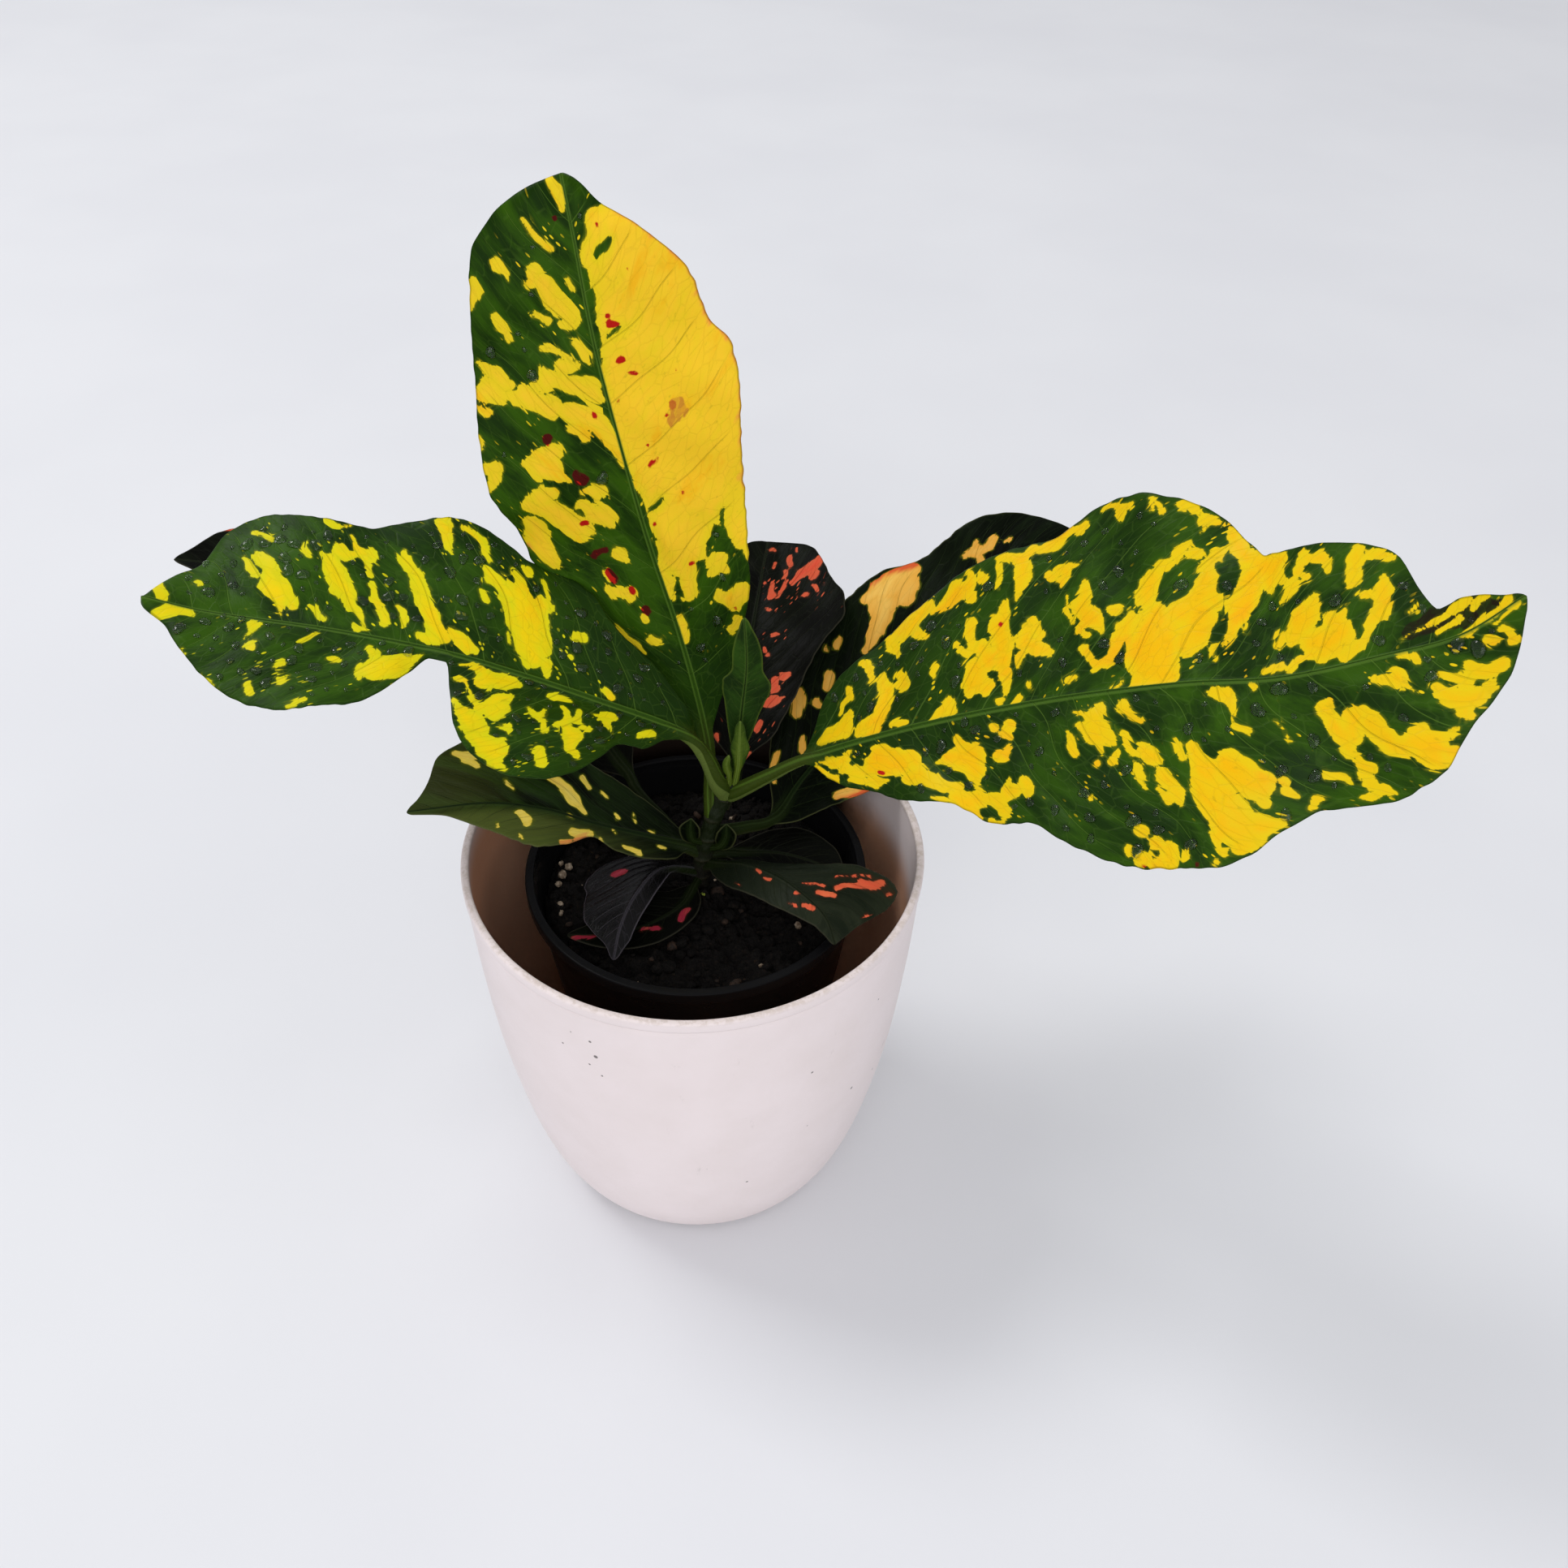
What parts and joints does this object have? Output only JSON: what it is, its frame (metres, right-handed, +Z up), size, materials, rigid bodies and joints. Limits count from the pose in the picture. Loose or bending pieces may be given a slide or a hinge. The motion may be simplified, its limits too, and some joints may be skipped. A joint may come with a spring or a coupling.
{
  "type": "potted croton",
  "caption": "Young croton with broad yellow-blotched leaves on a short stem, in a black nursery pot inside a white cover pot.",
  "frame": {"origin": "centre of the cover pot's underside", "axes": "+Z up along the cover pot's axis, +X to the right seen from the front, where the large right leaf reaches, +Y to the back"},
  "size_m": [0.323, 0.1533, 0.2886],
  "materials": {
    "cover_pot": "matte",
    "nursery_pot": "satin",
    "soil": "matte",
    "stem": "matte",
    "blotched_leaf": "satin",
    "dark_leaf": "satin",
    "fresh_leaf": "satin"
  },
  "bodies": {
    "root": {"cover_pot": "cover_pot", "nursery_pot": "nursery_pot", "soil": "soil", "stem": "stem", "leaf_tall": "blotched_leaf", "leaf_left": "blotched_leaf", "leaf_right": "blotched_leaf", "leaf_right_back": "dark_leaf", "leaf_back": "dark_leaf", "leaf_left_back": "dark_leaf", "leaf_front_left": "dark_leaf", "leaf_front_right": "dark_leaf", "leaf_front_small": "dark_leaf", "leaf_on_soil": "dark_leaf", "leaf_in_shade": "dark_leaf", "leaf_new": "fresh_leaf", "leaf_newest": "fresh_leaf", "leaf_bud": "fresh_leaf", "shoot_left": "dark_leaf", "shoot_right": "dark_leaf"}
  },
  "joints": []
}
